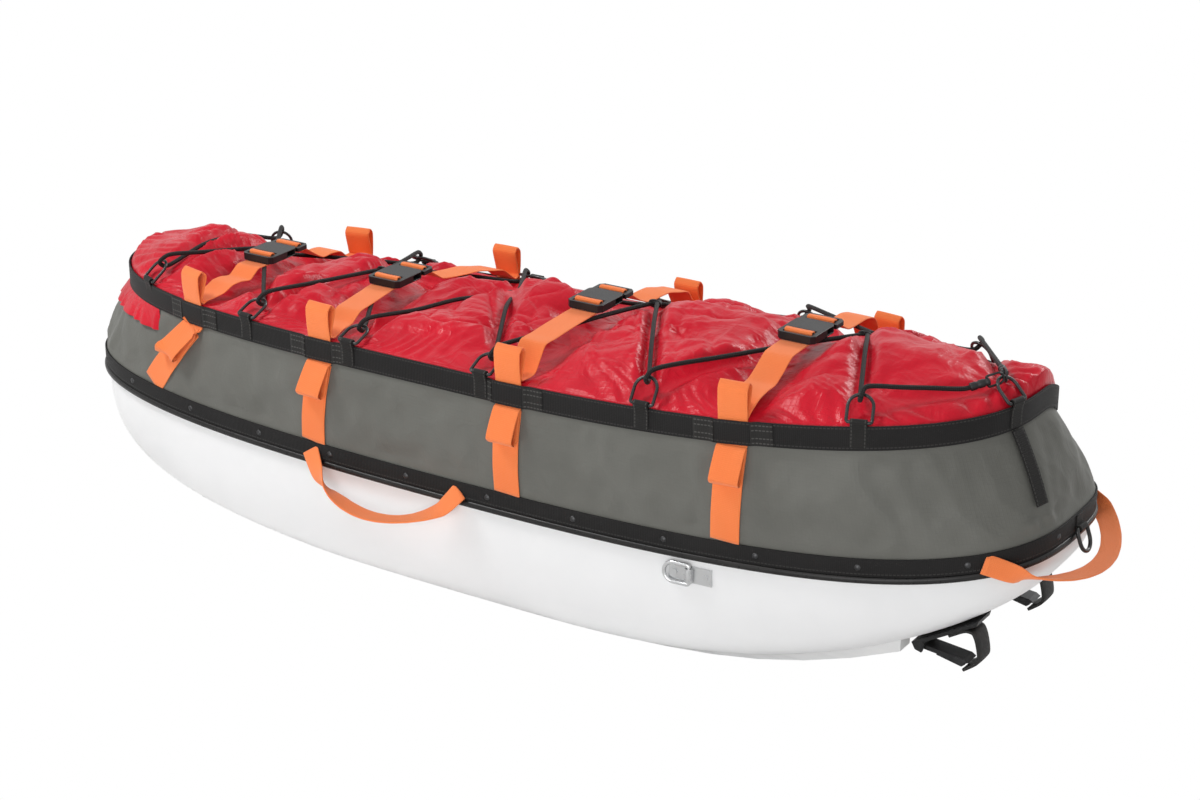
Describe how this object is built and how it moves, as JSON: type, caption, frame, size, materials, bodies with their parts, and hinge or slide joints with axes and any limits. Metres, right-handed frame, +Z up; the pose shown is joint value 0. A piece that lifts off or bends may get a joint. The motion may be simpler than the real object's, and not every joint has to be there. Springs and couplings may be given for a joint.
{
  "type": "pulk sled",
  "caption": "Towed cargo sled: shallow plastic hull on runners, fabric skirt and laced cover held down by buckled webbing straps, with carry handles and tow clamps.",
  "frame": {"origin": "on the ground under the middle of the whole sled", "axes": "+X to the bow, +Y to the sled's left, +Z up"},
  "size_m": [1.5286, 0.555, 0.447],
  "materials": {
    "hull": "satin moulded polyethylene",
    "runner": "worn plastic",
    "trim": "glossy extruded rubber",
    "webbing": "woven webbing",
    "red_nylon": "ripstop nylon",
    "grey_nylon": "coated nylon",
    "load": "soft packed gear",
    "orange_webbing": "woven webbing",
    "black_wire": "black coated wire",
    "steel": "plain steel",
    "black_plastic": "moulded plastic",
    "cord": "braided elastic cord"
  },
  "bodies": {
    "sled": {"hull": "hull", "rim_trim": "trim", "rim_band": "webbing", "skirt": "grey_nylon", "cover": "red_nylon", "packed_load": "load", "rear_flap": "red_nylon", "top_band": "webbing", "lacing_ring_front": "black_wire", "lacing_cord": "cord", "runner_near": "runner", "lacing_ring_near_1": "black_wire", "lacing_ring_near_2": "black_wire", "lacing_ring_near_3": "black_wire", "lacing_ring_near_4": "black_wire", "lacing_ring_near_5": "black_wire", "lacing_ring_near_6": "black_wire", "cord_sleeve_near": "black_plastic", "strap_near_1": "orange_webbing", "strap_near_2": "orange_webbing", "strap_near_3": "orange_webbing", "strap_near_4": "orange_webbing", "side_plate_near": "steel", "clamp_base_near": "black_plastic", "clamp_band_near": "webbing", "runner_far": "runner", "lacing_ring_far_1": "black_wire", "lacing_ring_far_2": "black_wire", "lacing_ring_far_3": "black_wire", "lacing_ring_far_4": "black_wire", "lacing_ring_far_5": "black_wire", "lacing_ring_far_6": "black_wire", "cord_sleeve_far": "black_plastic", "strap_far_1": "orange_webbing", "strap_far_2": "orange_webbing", "strap_far_3": "orange_webbing", "strap_far_4": "orange_webbing", "side_plate_far": "steel", "clamp_base_far": "black_plastic", "clamp_band_far": "webbing", "buckle_socket_1": "black_plastic", "buckle_socket_2": "black_plastic", "buckle_socket_3": "black_plastic", "buckle_socket_4": "black_plastic"},
    "side_ring_near": {"side_ring_near": "steel"},
    "side_ring_far": {"side_ring_far": "steel"},
    "handle_near": {"handle_near": "orange_webbing"},
    "handle_far": {"handle_far": "orange_webbing"},
    "handle_front": {"handle_front": "orange_webbing"},
    "handle_rear": {"handle_rear": "orange_webbing"},
    "bow_ring": {"bow_ring": "black_wire"},
    "clip_1": {"buckle_clip_1": "black_plastic"},
    "clip_2": {"buckle_clip_2": "black_plastic"},
    "clip_3": {"buckle_clip_3": "black_plastic"},
    "clip_4": {"buckle_clip_4": "black_plastic"},
    "arm_near": {"clamp_arm_near": "black_plastic", "clamp_latch_near": "black_plastic"},
    "arm_far": {"clamp_arm_far": "black_plastic", "clamp_latch_far": "black_plastic"}
  },
  "joints": [
    {"name": "side_ring_near_fold", "type": "hinge", "parent": "sled", "child": "side_ring_near", "pos_m": [0.31769, -0.22501, 0.16927], "axis": [0, 0, 1], "range_deg": [0, 150]},
    {"name": "side_ring_far_fold", "type": "hinge", "parent": "sled", "child": "side_ring_far", "pos_m": [0.3177, 0.22502, 0.16927], "axis": [0, 0, 1], "range_deg": [-150, 0]},
    {"name": "bow_ring_swing", "type": "hinge", "parent": "sled", "child": "bow_ring", "pos_m": [0.72379, 0, 0.2466], "axis": [0, 1, 0], "range_deg": [-95, 0]},
    {"name": "handle_near_swing", "type": "hinge", "parent": "sled", "child": "handle_near", "pos_m": [-0.25675, -0.22953, 0.20613], "axis": [0.9999, -0.0118, -0.0067], "range_deg": [-100, 4]},
    {"name": "handle_far_swing", "type": "hinge", "parent": "sled", "child": "handle_far", "pos_m": [-0.25675, 0.22952, 0.20613], "axis": [0.9999, 0.0119, -0.0067], "range_deg": [-4, 100]},
    {"name": "handle_front_swing", "type": "hinge", "parent": "sled", "child": "handle_front", "pos_m": [0.66286, -0.14294, 0.23989], "axis": [-0.0004, 1, 0], "range_deg": [-30, 0]},
    {"name": "handle_rear_swing", "type": "hinge", "parent": "sled", "child": "handle_rear", "pos_m": [-0.71864, -0.09263, 0.23007], "axis": [-0.0017, 1, 0], "range_deg": [0, 55]},
    {"name": "buckle_1_release", "type": "slide", "parent": "sled", "child": "clip_1", "axis": [0, 1, 0], "range_m": [0, 0.03], "deforming": ["strap_far_1"]},
    {"name": "buckle_2_release", "type": "slide", "parent": "sled", "child": "clip_2", "axis": [0, 1, 0], "range_m": [0, 0.03], "deforming": ["strap_far_2"]},
    {"name": "buckle_3_release", "type": "slide", "parent": "sled", "child": "clip_3", "axis": [0, 1, 0], "range_m": [0, 0.03], "deforming": ["strap_far_3"]},
    {"name": "buckle_4_release", "type": "slide", "parent": "sled", "child": "clip_4", "axis": [0, 1, 0], "range_m": [0, 0.03], "deforming": ["strap_far_4"]},
    {"name": "clamp_near_open", "type": "hinge", "parent": "sled", "child": "arm_near", "pos_m": [0.57455, -0.096, 0.09424], "axis": [0, 1, 0], "range_deg": [0, 50], "deforming": ["clamp_band_near"]},
    {"name": "clamp_far_open", "type": "hinge", "parent": "sled", "child": "arm_far", "pos_m": [0.57479, 0.096, 0.09404], "axis": [0, 1, 0], "range_deg": [0, 50], "deforming": ["clamp_band_far"]}
  ]
}
